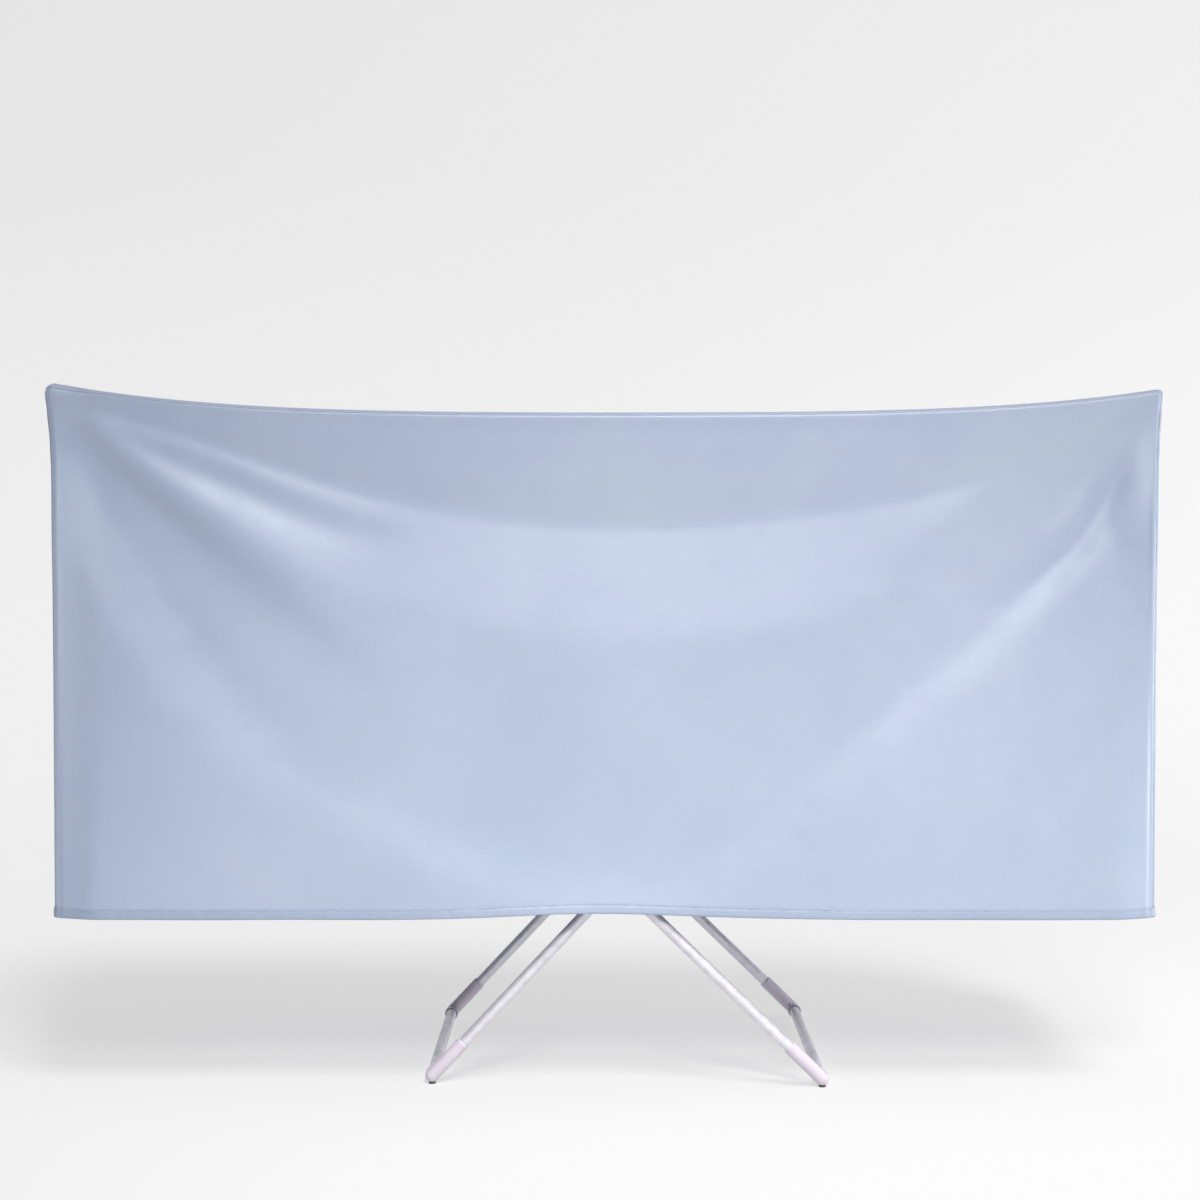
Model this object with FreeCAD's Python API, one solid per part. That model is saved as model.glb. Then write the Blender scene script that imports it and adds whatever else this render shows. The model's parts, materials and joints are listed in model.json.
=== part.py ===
import FreeCAD, Part
import math
import os

# Winged folding clothes airer on crossed legs, with a fitted fabric cover.
# Millimetres. Origin on the floor under the middle of the cover,
# +X to the right along the length, +Y to the rear, +Z up.

V = FreeCAD.Vector
os.makedirs("parts", exist_ok=True)

# ---- driving dimensions -------------------------------------------------
TUBE_R = 9.0            # leg, rail and arm tube, outer radius
TUBE_WALL = 1.2
SOCKET_R = 10.9         # plastic sockets and corners
SOCKET_BORE = 9.05
TIP_SOCKET_R = 10.5     # sockets of the wing tips, under the cloth
Y_IN = 248.0            # centre plane of inner legs, rails and wing arms
Y_OUT = 271.0           # centre plane of outer legs
FOOT_Z = 12.5           # height of the foot corners
FOOT_IN_X = -280.0
FOOT_OUT_X = 350.0
FOOT_SOCKET = 75.0      # length of the leg socket of a foot elbow
FOOT_BAR_SOCKET = 20.0
T_X, T_Z = 500.0, 840.0         # hinge of the panel on the inner legs
S_X, S_Z = -528.0, 866.0        # top of the outer legs
PANEL_Z = 866.0
END_X = 520.0           # end bars of the middle panel
HINGE_X, HINGE_Z = 535.0, 888.0     # wing hinges
TIP_X, TIP_Z = 873.0, 1106.0        # wing tip bars
STAY_X, STAY_Z = 503.0, 808.0       # lower pivot of the wing stays
STAY_Y = 227.0
STAY_S = 170.0          # distance from the wing hinge to the stay rest
STAY_R = 2.5
WIRE_R = 2.0
PANEL_WIRES = [-186.0 + 62.0 * i for i in range(7)]
WING_WIRES = [50.0, 110.0, 170.0, 230.0, 290.0, 350.0]
PIN_CLEAR = 0.05
COVER_X = 884.3         # inner faces of the cover's ends
COVER_T = 1.0
COVER_Y = [(259.5, 1140.0 - 20.0), (285.5, 884.0), (287.0, 277.0)]
COVER_TOP_END, COVER_TOP_MID = 1121.0, 1083.0
HEM_Z, HEM_TOP = 277.0, 293.0


# ---- helpers --------------------------------------------------------------
def cyl(p, q, r):
    p, q = V(*p), V(*q)
    return Part.makeCylinder(r, (q - p).Length, p, q - p)


def cone(p, q, r1, r2):
    p, q = V(*p), V(*q)
    return Part.makeCone(r1, r2, (q - p).Length, p, q - p)


def pipe(p, q, r, wall=TUBE_WALL):
    return cyl(p, q, r).cut(cyl(p, q, r - wall))


def ball(p, r):
    return Part.makeSphere(r, V(*p))


def box(x0, x1, y0, y1, z0, z1):
    return Part.makeBox(x1 - x0, y1 - y0, z1 - z0, V(x0, y0, z0))


def plate(points, y0, y1):
    """A flat plate: points are (x, z), and it runs from y0 to y1."""
    pts = [V(x, y0, z) for x, z in points]
    face = Part.Face(Part.makePolygon(pts + [pts[0]]))
    return face.extrude(V(0, y1 - y0, 0))


def fuse(shapes):
    out = shapes[0]
    for s in shapes[1:]:
        out = out.fuse(s)
    return out.removeSplitter()


def cut(a, *others):
    for o in others:
        a = a.cut(o)
    return a


def my(s):
    return s.mirror(V(0, 0, 0), V(0, 1, 0))


def mx(s):
    return s.mirror(V(0, 0, 0), V(1, 0, 0))


def along(p, d, s, n=0.0):
    """Point s along direction d from p in the XZ plane, n to its left."""
    return (p[0] + d[0] * s - d[1] * n, p[1] + d[1] * s + d[0] * n)


def at(xz, y):
    return (xz[0], y, xz[1])


def unit(p, q):
    l = math.hypot(q[0] - p[0], q[1] - p[1])
    return ((q[0] - p[0]) / l, (q[1] - p[1]) / l), l


NODES = {}


def save(name, *shapes):
    solids = [s for shape in shapes for s in shape.Solids]
    for s in solids:
        if not s.isValid() or s.Volume < 1.0:
            raise ValueError(name)
    shape = solids[0] if len(solids) == 1 else Part.makeCompound(solids)
    shape.exportStep("parts/%s.step" % name)
    NODES[name] = shape
    b = shape.BoundBox
    print("%-28s n=%-2d vol=%9.0f  x %.1f..%.1f y %.1f..%.1f z %.1f..%.1f" % (
        name, len(solids), sum(s.Volume for s in solids),
        b.XMin, b.XMax, b.YMin, b.YMax, b.ZMin, b.ZMax))


# ---- leg frames -------------------------------------------------------------
foot_in, foot_out = (FOOT_IN_X, FOOT_Z), (FOOT_OUT_X, FOOT_Z)
top_in, top_out = (T_X, T_Z), (S_X, S_Z)
d_in, len_in = unit(foot_in, top_in)
d_out, len_out = unit(foot_out, top_out)
# where the two frames cross
det = d_in[0] * -d_out[1] + d_out[0] * d_in[1]
gx, gz = foot_out[0] - foot_in[0], foot_out[1] - foot_in[1]
s_in = (gx * -d_out[1] + d_out[0] * gz) / det
cross = along(foot_in, d_in, s_in)
print("crossing", cross, "leg lengths", len_in, len_out, "directions", d_in, d_out)


def foot_elbow(foot, d, y):
    """Corner fitting of a foot: leg socket, crossbar socket, rounded toe."""
    body = fuse([
        ball(at(foot, y), SOCKET_R),
        cyl(at(foot, y), at(along(foot, d, FOOT_SOCKET - 3.0), y), SOCKET_R),
        cone(at(along(foot, d, FOOT_SOCKET - 3.0), y),
             at(along(foot, d, FOOT_SOCKET), y), SOCKET_R, SOCKET_R - 1.2),
        cyl(at(foot, y), at(foot, y - FOOT_BAR_SOCKET), SOCKET_R),
        cyl(at(foot, y - FOOT_BAR_SOCKET + 4.0), at(foot, y - FOOT_BAR_SOCKET),
            SOCKET_R + 1.0),
    ])
    body = cut(
        body,
        cyl(at(along(foot, d, 14.0), y), at(along(foot, d, 90.0), y), SOCKET_BORE),
        cyl(at(foot, y - 12.5), at(foot, y - 60.0), SOCKET_BORE),
        cyl(at(foot, y - FOOT_BAR_SOCKET + 3.0), at(foot, y - 60.0), SOCKET_BORE + 1.0),
    )
    return body


def pad_blank(foot, y):
    """Oval rubber pad under the toe."""
    x, z = foot
    return fuse([
        Part.makeCylinder(5.5, 5.0, V(x, y - 8.0, 0.0), V(0, 0, 1)),
        Part.makeCylinder(5.5, 5.0, V(x, y + 1.0, 0.0), V(0, 0, 1)),
        box(x - 5.5, x + 5.5, y - 8.0, y + 1.0, 0.0, 5.0),
    ])


def top_cap(top, d, y):
    body = fuse([
        ball(at(top, y), SOCKET_R),
        cyl(at(top, y), at(along(top, d, -34.0), y), SOCKET_R),
    ])
    return cut(body, cyl(at(along(top, d, -12.0), y), at(along(top, d, -60.0), y),
                         SOCKET_BORE))


# pads are let into the elbows by 1 mm
elbow_in = foot_elbow(foot_in, d_in, Y_IN)
pad_in = pad_blank(foot_in, Y_IN)
pad_in = cut(pad_in, elbow_in)
pad_in = sorted(pad_in.Solids, key=lambda s: s.BoundBox.ZMin)[0]
elbow_out = foot_elbow(foot_out, d_out, Y_OUT)
pad_out = cut(pad_blank(foot_out, Y_OUT), elbow_out)
pad_out = sorted(pad_out.Solids, key=lambda s: s.BoundBox.ZMin)[0]

rivet = fuse([
    cyl(at(cross, 237.0), at(cross, 239.0), 5.0),
    cyl(at(cross, 238.0), at(cross, 281.5), 2.5),
    cyl(at(cross, 280.4), at(cross, 282.0), 5.0),
])
rivet_line = cyl(at(cross, 230.0), at(cross, 290.0), 2.5)
rivet_free = cyl(at(cross, 230.0), at(cross, 290.0), 2.5 + PIN_CLEAR)

leg_in = pipe(at(along(foot_in, d_in, 15.0), Y_IN),
              at(along(foot_in, d_in, len_in - 13.0), Y_IN), TUBE_R)
leg_in = cut(leg_in, rivet_line)
leg_out = pipe(at(along(foot_out, d_out, 15.0), Y_OUT),
               at(along(foot_out, d_out, len_out - 13.0), Y_OUT), TUBE_R)
leg_out = cut(leg_out, rivet_free)

spacer = cyl(at(cross, 247.0), at(cross, 261.6), 7.0)
spacer = cut(spacer, cyl(at(along(foot_in, d_in, 15.0), Y_IN),
                         at(along(foot_in, d_in, len_in - 13.0), Y_IN), TUBE_R),
             rivet_line)
spacer = sorted(spacer.Solids, key=lambda s: -s.BoundBox.YMax)[0]

rod_y = 246.0
hinge_rod = cyl(at(top_in, -rod_y), at(top_in, rod_y), 5.0)
cap_in = cut(top_cap(top_in, d_in, Y_IN), hinge_rod)

save("inner_leg_tube_front", my(leg_in))
save("inner_leg_tube_rear", leg_in)
save("inner_foot_crossbar", pipe(at(foot_in, -Y_IN + 13.0), at(foot_in, Y_IN - 13.0), TUBE_R))
save("inner_foot_elbow_front", my(elbow_in))
save("inner_foot_elbow_rear", elbow_in)
save("inner_foot_pads", pad_in, my(pad_in))
save("inner_top_cap_front", my(cap_in))
save("inner_top_cap_rear", cap_in)
save("panel_hinge_rod", hinge_rod)
save("crossing_rivets", rivet, my(rivet))
save("crossing_spacers", spacer, my(spacer))

# outer legs end in domed caps with a low button facing the panel corner
cap_out = top_cap(top_out, d_out, Y_OUT)
cap_out = fuse([cap_out, cyl(at(top_out, Y_OUT - 11.9), at(top_out, Y_OUT - 4.0), 5.0)])
save("outer_leg_tube_front", my(leg_out))
save("outer_leg_tube_rear", leg_out)
save("outer_foot_crossbar", pipe(at(foot_out, -Y_OUT + 13.0), at(foot_out, Y_OUT - 13.0), TUBE_R))
save("outer_foot_elbow_front", my(elbow_out))
save("outer_foot_elbow_rear", elbow_out)
save("outer_foot_pads", pad_out, my(pad_out))
save("outer_snap_cap_front", my(cap_out))
save("outer_snap_cap_rear", cap_out)

# ---- middle panel ------------------------------------------------------------
wires = [cyl((-END_X, y, PANEL_Z), (END_X, y, PANEL_Z), WIRE_R) for y in PANEL_WIRES]
wire_cut = Part.makeCompound([cyl((-END_X, y, PANEL_Z), (END_X, y, PANEL_Z), WIRE_R)
                              for y in PANEL_WIRES])
hinge = (HINGE_X, HINGE_Z)


def panel_corner():
    """Rear right corner of the panel with the ear of the wing hinge."""
    c = (END_X, PANEL_Z)
    body = fuse([
        ball((END_X, Y_IN, PANEL_Z), SOCKET_R),
        cyl((END_X, Y_IN, PANEL_Z), (END_X - 38.0, Y_IN, PANEL_Z), SOCKET_R),
        cyl((END_X, Y_IN, PANEL_Z), (END_X, Y_IN - 24.0, PANEL_Z), SOCKET_R),
    ])
    e, l = unit(c, hinge)
    web = plate([along(c, e, 0.0, 4.5), along(c, e, 0.0, -4.5),
                 along(c, e, l, -4.5), along(c, e, l, 4.5)], 238.0, 245.0)
    eye = cyl(at(hinge, 238.0), at(hinge, 245.0), 8.5)
    body = fuse([body, web, eye])
    return cut(
        body,
        cyl((END_X - 14.0, Y_IN, PANEL_Z), (END_X - 60.0, Y_IN, PANEL_Z), SOCKET_BORE),
        cyl((END_X, Y_IN - 13.0, PANEL_Z), (END_X, Y_IN - 60.0, PANEL_Z), SOCKET_BORE),
        cyl(at(hinge, 230.0), at(hinge, 262.0), 3.0),
    )


hinge_pin = fuse([
    cyl(at(hinge, 235.0), at(hinge, 238.0), 5.0),
    cyl(at(hinge, 237.0), at(hinge, 256.6), 3.0),
    cyl(at(hinge, 256.4), at(hinge, 258.0), 5.0),
])

# figure-of-eight clips: round the end bar above, running on the hinge rod below
end_pt = (END_X, PANEL_Z)
c_dir, c_len = unit(end_pt, top_in)
clip = fuse([
    cyl(at(end_pt, 204.0), at(end_pt, 218.0), 11.0),
    cyl(at(top_in, 204.0), at(top_in, 218.0), 8.5),
    plate([along(end_pt, c_dir, 0.0, 6.0), along(end_pt, c_dir, 0.0, -6.0),
           along(end_pt, c_dir, c_len, -6.0), along(end_pt, c_dir, c_len, 6.0)],
          204.0, 218.0),
])
clip = cut(clip, cyl(at(end_pt, 200.0), at(end_pt, 222.0), TUBE_R),
           cyl(at(top_in, 200.0), at(top_in, 222.0), 5.0 + PIN_CLEAR))


def stay_bracket():
    """Rear right bracket: collar on the rail, and a plate down to the stay's pivot."""
    body = fuse([
        cyl((462.0, Y_IN, PANEL_Z), (478.0, Y_IN, PANEL_Z), 11.0),
        box(462.0, 478.0, 232.0, 244.0, 858.0, 874.0),
        plate([(462.0, 874.0), (478.0, 874.0), (484.0, 846.0), (487.0, 824.0),
               (503.0, 815.0), (503.0, 801.0), (476.0, 810.0), (466.0, 832.0)],
              232.0, 236.0),
        cyl((STAY_X, 232.0, STAY_Z), (STAY_X, 236.0, STAY_Z), 7.0),
    ])
    return cut(body,
               cyl((450.0, Y_IN, PANEL_Z), (490.0, Y_IN, PANEL_Z), TUBE_R),
               cyl((STAY_X, 228.0, STAY_Z), (STAY_X, 240.0, STAY_Z), STAY_R + PIN_CLEAR))


rail = pipe((-END_X + 15.0, Y_IN, PANEL_Z), (END_X - 15.0, Y_IN, PANEL_Z), TUBE_R)
end_bar = pipe((END_X, -Y_IN + 14.0, PANEL_Z), (END_X, Y_IN - 14.0, PANEL_Z), TUBE_R)
end_bar = cut(end_bar, wire_cut)
corner = panel_corner()
bracket = stay_bracket()

save("panel_rail_front", my(rail))
save("panel_rail_rear", rail)
save("panel_end_bar_left", mx(end_bar))
save("panel_end_bar_right", end_bar)
save("panel_wires", *wires)
save("panel_corner_front_right", my(corner))
save("panel_corner_rear_right", corner)
save("panel_corner_front_left", mx(my(corner)))
save("panel_corner_rear_left", mx(corner))
save("panel_hinge_clips", clip, my(clip))
save("stay_brackets", bracket, my(bracket), mx(bracket), mx(my(bracket)))
save("wing_hinge_pins", hinge_pin, my(hinge_pin), mx(hinge_pin), mx(my(hinge_pin)))

# ---- wings -------------------------------------------------------------------
tip = (TIP_X, TIP_Z)
u, wing_len = unit(hinge, tip)
print("wing", u, wing_len, math.degrees(math.atan2(u[1], u[0])))

arm = pipe(at(along(hinge, u, 20.0), Y_IN), at(along(hinge, u, wing_len - 14.0), Y_IN), TUBE_R)
knuckle = fuse([
    cyl(at(hinge, 246.0), at(hinge, 256.0), 8.5),
    plate([along(hinge, u, 0.0, 6.0), along(hinge, u, 0.0, -6.0),
           along(hinge, u, 20.0, -6.0), along(hinge, u, 20.0, 6.0)], 246.0, 256.0),
    cyl(at(along(hinge, u, 15.0), Y_IN), at(along(hinge, u, 46.0), Y_IN), 10.6),
])
knuckle = cut(knuckle, cyl(at(hinge, 240.0), at(hinge, 262.0), 3.0 + PIN_CLEAR),
              cyl(at(along(hinge, u, 19.0), Y_IN), at(along(hinge, u, 70.0), Y_IN), SOCKET_BORE))
tip_bar = pipe(at(tip, -Y_IN + 14.0), at(tip, Y_IN - 14.0), TUBE_R)
tip_corner = fuse([
    ball(at(tip, Y_IN), TIP_SOCKET_R),
    cyl(at(tip, Y_IN), at(along(tip, u, -44.0), Y_IN), TIP_SOCKET_R),
    cyl(at(tip, Y_IN), at(tip, Y_IN - 40.0), TIP_SOCKET_R),
])
tip_corner = cut(
    tip_corner,
    cyl(at(along(tip, u, -13.0), Y_IN), at(along(tip, u, -70.0), Y_IN), SOCKET_BORE),
    cyl(at(tip, Y_IN - 13.0), at(tip, Y_IN - 70.0), SOCKET_BORE),
)
wing_wires = [cyl(at(along(hinge, u, s), -Y_IN), at(along(hinge, u, s), Y_IN), WIRE_R)
              for s in WING_WIRES]
arm = cut(arm, Part.makeCompound(wing_wires))

# clips on one wing wire that snap over the stay's crosswise wire from above
stay_tip = along(hinge, u, STAY_S, -5.0)
rest_pt = along(hinge, u, STAY_S)
stay_clip = plate([along(hinge, u, STAY_S - 6.0, 5.0), along(hinge, u, STAY_S - 6.0, -6.0),
                   along(hinge, u, STAY_S + 6.0, -6.0), along(hinge, u, STAY_S + 6.0, 5.0)],
                  112.0, 128.0)
slot = plate([along(hinge, u, STAY_S - 2.9, -5.0), along(hinge, u, STAY_S - 2.9, -12.0),
              along(hinge, u, STAY_S + 2.9, -12.0), along(hinge, u, STAY_S + 2.9, -5.0)],
             110.0, 130.0)
stay_clip = cut(stay_clip, cyl(at(stay_tip, 110.0), at(stay_tip, 130.0), 2.9), slot,
                cyl(at(rest_pt, 110.0), at(rest_pt, 130.0), WIRE_R))


def wing(side, flip):
    save(side + "_wing_arm_front", flip(my(arm)))
    save(side + "_wing_arm_rear", flip(arm))
    save(side + "_wing_tip_bar", flip(tip_bar))
    save(side + "_wing_corner_front", flip(my(tip_corner)))
    save(side + "_wing_corner_rear", flip(tip_corner))
    save(side + "_wing_wires", *[flip(w) for w in wing_wires])
    save(side + "_wing_knuckles", flip(knuckle), flip(my(knuckle)))
    save(side + "_stay_clips", flip(stay_clip), flip(my(stay_clip)))


# ---- wing stays: one bent wire each -------------------------------------------
pivot = (STAY_X, STAY_Z)
sd, stay_len = unit(pivot, stay_tip)
print("stay", sd, stay_len, math.degrees(math.atan2(sd[1], sd[0])), "tip", stay_tip)
R = 9.0


def bend_wire(points, radius):
    """Wire path through points, with a tangent arc at each inner point."""
    pts = [V(*p) for p in points]
    edges, start = [], pts[0]
    for a, b, c in zip(pts, pts[1:], pts[2:]):
        p = b + (a - b).normalize() * radius
        q = b + (c - b).normalize() * radius
        m = b + ((p + q) * 0.5 - b) * (2.0 - math.sqrt(2.0))
        edges += [Part.makeLine(start, p), Part.Arc(p, m, q).toShape()]
        start = q
    edges.append(Part.makeLine(start, pts[-1]))
    return Part.Wire(edges)


path = bend_wire([
    at(pivot, 236.4), at(pivot, STAY_Y), at(stay_tip, STAY_Y),
    at(stay_tip, -STAY_Y), at(pivot, -STAY_Y), at(pivot, -236.4),
], 4.0)
ring = Part.Wire(Part.makeCircle(STAY_R, V(*at(pivot, 236.4)), V(0, 1, 0)))
stay = path.makePipeShell([ring], True, False)
if stay.Volume < 0:
    stay.reverse()
print("stay volume", stay.Volume, "expected", math.pi * STAY_R ** 2 * path.Length)

wing("right", lambda s: s)
wing("left", mx)
save("right_stay_wire", stay)
save("left_stay_wire", mx(stay))


# ---- fabric cover -----------------------------------------------------------
def prism(profile, x0, x1):
    pts = [V(x0, y, z) for y, z in profile]
    return Part.Face(Part.makePolygon(pts + [pts[0]])).extrude(V(x1 - x0, 0, 0))


def profile(grow, z_low, z_high=1160.0):
    """Cross-section of the cover, wider by grow on each side."""
    (y0, z0), (y1, z1), (y2, z2) = COVER_Y
    y0 = y0 - (z_high - z0) * (y1 - y0) / (z0 - z1)
    right = [(y0 + grow, z_high), (y1 + grow, z1), (y2 + grow, z_low)]
    return right + [(-y, z) for y, z in reversed(right)]


def above(drop):
    """Everything over the sagged top, which is drop lower than its outer face."""
    pts = []
    for i in range(-8, 9):
        x = i / 8.0
        z = COVER_TOP_MID + (COVER_TOP_END - COVER_TOP_MID) * abs(x) ** 3 - drop
        pts.append(V(x * 900.0, -400.0, z))
    curve = Part.BSplineCurve()
    curve.interpolate(pts)
    lid = [V(900.0, -400.0, 1300.0), V(-900.0, -400.0, 1300.0)]
    w = Part.Wire([curve.toShape(), Part.makeLine(pts[-1], lid[0]),
                   Part.makeLine(lid[0], lid[1]), Part.makeLine(lid[1], pts[0])])
    return Part.Face(w).extrude(V(0, 800.0, 0))


outer = prism(profile(COVER_T, HEM_TOP), -COVER_X - COVER_T, COVER_X + COVER_T)
inner = prism(profile(0.0, HEM_TOP), -COVER_X, COVER_X)
top_panel = cut(outer, above(0.0)).common(above(COVER_T))
walls = cut(outer, above(COVER_T), inner)
front = walls.common(box(-COVER_X, COVER_X, -400.0, 0.0, 0.0, 1200.0))
left = walls.common(box(-1000.0, -COVER_X, -400.0, 400.0, 0.0, 1200.0))
save("cover_top_panel", top_panel)
save("cover_front_panel", front)
save("cover_back_panel", my(front))
save("cover_left_end", left)
save("cover_right_end", mx(left))

y_hem = COVER_Y[2][0]
g = 0.6
hem_front = box(-COVER_X - COVER_T - g, COVER_X + COVER_T + g,
                -y_hem - COVER_T - g, -y_hem + g, HEM_Z, HEM_TOP)
hem_side = box(COVER_X - g, COVER_X + COVER_T + g, -y_hem + g, y_hem - g, HEM_Z, HEM_TOP)
save("cover_hem", hem_front, my(hem_front), hem_side, mx(hem_side))
print(len(NODES), "nodes")
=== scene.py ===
import bpy, bmesh, json, math
import numpy as np
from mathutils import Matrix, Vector, noise


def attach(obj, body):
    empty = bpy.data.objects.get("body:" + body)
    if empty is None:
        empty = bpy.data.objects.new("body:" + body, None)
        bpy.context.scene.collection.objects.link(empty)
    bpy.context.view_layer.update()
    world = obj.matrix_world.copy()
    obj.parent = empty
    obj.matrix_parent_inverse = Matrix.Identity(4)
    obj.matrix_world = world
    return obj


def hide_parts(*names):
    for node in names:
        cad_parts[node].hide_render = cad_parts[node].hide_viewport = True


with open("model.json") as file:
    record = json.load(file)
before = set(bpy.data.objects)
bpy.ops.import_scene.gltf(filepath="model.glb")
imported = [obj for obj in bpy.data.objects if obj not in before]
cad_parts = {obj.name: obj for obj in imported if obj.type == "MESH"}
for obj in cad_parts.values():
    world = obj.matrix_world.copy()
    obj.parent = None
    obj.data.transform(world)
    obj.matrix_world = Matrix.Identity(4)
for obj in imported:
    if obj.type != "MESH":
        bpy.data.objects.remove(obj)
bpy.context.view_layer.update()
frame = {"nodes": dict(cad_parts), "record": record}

# ---------------------------------------------------------------- camera
cam_data = bpy.data.cameras.new("camera")
cam = bpy.data.objects.new("camera", cam_data)
bpy.context.scene.collection.objects.link(cam)
cam_data.sensor_width = 36.0
cam_data.lens = 68.0
cam_data.clip_start = 0.05
cam_data.clip_end = 60.0
cam.location = (-0.008, -3.899, 0.886)
cam.rotation_euler = (math.radians(90.0 - 1.61), 0.0, 0.0)
bpy.context.scene.camera = cam


# ---------------------------------------------------------------- materials
class Mat:
    """A small helper that builds one node material."""

    def __init__(self, name, color, rough, metallic=0.0, **sockets):
        self.m = bpy.data.materials.new(name)
        self.m.use_nodes = True
        self.t = self.m.node_tree
        self.t.nodes.clear()
        self.out = self.new("ShaderNodeOutputMaterial")
        self.b = self.new("ShaderNodeBsdfPrincipled")
        self.link(self.b, "BSDF", self.out, "Surface")
        self.b.inputs["Base Color"].default_value = (*color, 1.0)
        self.b.inputs["Roughness"].default_value = rough
        self.b.inputs["Metallic"].default_value = metallic
        for k, v in sockets.items():
            self.b.inputs[k.replace("_", " ")].default_value = v
        self.coord = self.new("ShaderNodeTexCoord")

    def new(self, kind, **props):
        n = self.t.nodes.new(kind)
        for k, v in props.items():
            setattr(n, k, v)
        return n

    def link(self, a, ao, b, bi):
        self.t.links.new(a.outputs[ao], b.inputs[bi])

    def scaled(self, sx, sy, sz, source="Object"):
        n = self.new("ShaderNodeMapping")
        n.inputs["Scale"].default_value = (sx, sy, sz)
        self.link(self.coord, source, n, "Vector")
        return n

    def noise(self, vec, scale, detail=3.0, rough=0.5):
        n = self.new("ShaderNodeTexNoise")
        n.inputs["Scale"].default_value = scale
        n.inputs["Detail"].default_value = detail
        n.inputs["Roughness"].default_value = rough
        self.t.links.new(vec.outputs[0] if hasattr(vec, "outputs") else vec, n.inputs["Vector"])
        return n

    def ramp(self, src, out, stops):
        n = self.new("ShaderNodeValToRGB")
        while len(n.color_ramp.elements) < len(stops):
            n.color_ramp.elements.new(0.5)
        for e, (p, c) in zip(n.color_ramp.elements, stops):
            e.position = p
            e.color = (*c, 1.0)
        self.link(src, out, n, "Fac")
        return n

    def span(self, src, out, lo, hi, a=0.0, b=1.0):
        n = self.new("ShaderNodeMapRange")
        n.inputs["From Min"].default_value = a
        n.inputs["From Max"].default_value = b
        n.inputs["To Min"].default_value = lo
        n.inputs["To Max"].default_value = hi
        self.link(src, out, n, "Value")
        return n

    def math(self, op, a, b=None, value=None):
        n = self.new("ShaderNodeMath", operation=op)
        self.t.links.new(a, n.inputs[0])
        if b is not None:
            self.t.links.new(b, n.inputs[1])
        if value is not None:
            n.inputs[1].default_value = value
        return n

    def mix(self, fac, a, b, blend="MIX"):
        n = self.new("ShaderNodeMix", data_type="RGBA", blend_type=blend)
        if isinstance(fac, float):
            n.inputs[0].default_value = fac
        else:
            self.t.links.new(fac, n.inputs[0])
        for i, v in ((6, a), (7, b)):
            if isinstance(v, tuple):
                n.inputs[i].default_value = (*v, 1.0)
            else:
                self.t.links.new(v, n.inputs[i])
        return n

    def bump(self, height, strength, distance, under=None):
        n = self.new("ShaderNodeBump")
        n.inputs["Strength"].default_value = strength
        n.inputs["Distance"].default_value = distance
        self.t.links.new(height, n.inputs["Height"])
        if under is not None:
            self.link(under, "Normal", n, "Normal")
        return n

    def finish_bump(self, node):
        self.link(node, "Normal", self.b, "Normal")
        return self.m


def srgb(r, g, b):
    def f(c):
        c /= 255.0
        return c / 12.92 if c <= 0.04045 else ((c + 0.055) / 1.055) ** 2.4
    return (f(r), f(g), f(b))


def fabric(name, base, dark, light, rough=0.40, crease=1.0):
    """Light satin polyester: fine plain weave, slubs, soft crumple and a colour that drifts a little."""
    m = Mat(name, base, rough, Sheen_Weight=0.06, Sheen_Roughness=0.4, Specular_IOR_Level=0.95)
    m.b.inputs["Sheen Tint"].default_value = (0.92, 0.9, 1.0, 1.0)
    uv = m.new("ShaderNodeUVMap", uv_map="cloth")
    wide = m.noise(uv, 2.2, 3.0, 0.55)
    drift = m.ramp(wide, "Fac", [(0.36, dark), (0.5, base), (0.66, light)])
    # slubs: short faint streaks along warp and weft
    streak = []
    for sx, sy in ((14.0, 900.0), (900.0, 14.0)):
        mp = m.new("ShaderNodeMapping")
        mp.inputs["Scale"].default_value = (sx, sy, 1.0)
        m.link(uv, "UV", mp, "Vector")
        streak.append(m.noise(mp, 1.0, 2.0, 0.6))
    s = m.math("ADD", streak[0].outputs["Fac"], streak[1].outputs["Fac"])
    st = m.span(s, 0, 0.955, 1.045, 0.6, 1.4)
    tint = m.mix(1.0, drift.outputs["Color"], (1, 1, 1), "MULTIPLY")
    m.t.links.new(st.outputs[0], tint.inputs[7])
    m.t.links.new(tint.outputs[2], m.b.inputs["Base Color"])
    # weave: crossed threads 0.5 mm apart
    waves = []
    for direction in ("X", "Y"):
        w = m.new("ShaderNodeTexWave", wave_type="BANDS", bands_direction=direction, wave_profile="SIN")
        w.inputs["Scale"].default_value = 320.0
        w.inputs["Distortion"].default_value = 0.25
        w.inputs["Detail"].default_value = 1.0
        m.link(uv, "UV", w, "Vector")
        waves.append(w)
    weave = m.math("MULTIPLY", waves[0].outputs["Fac"], waves[1].outputs["Fac"])
    # small crumple left from folding
    crumple = m.noise(uv, 26.0, 4.0, 0.55)
    fine = m.noise(uv, 95.0, 3.0, 0.6)
    b1 = m.bump(crumple.outputs["Fac"], 0.26 * crease, 0.0016)
    b2 = m.bump(fine.outputs["Fac"], 0.35 * crease, 0.0004, b1)
    b3 = m.bump(s.outputs[0], 0.25, 0.00012, b2)
    b4 = m.bump(weave.outputs[0], 0.3, 0.00008, b3)
    r = m.span(crumple, "Fac", rough - 0.05, rough + 0.07, 0.3, 0.7)
    m.t.links.new(r.outputs[0], m.b.inputs["Roughness"])
    return m.finish_bump(b4)


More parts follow.
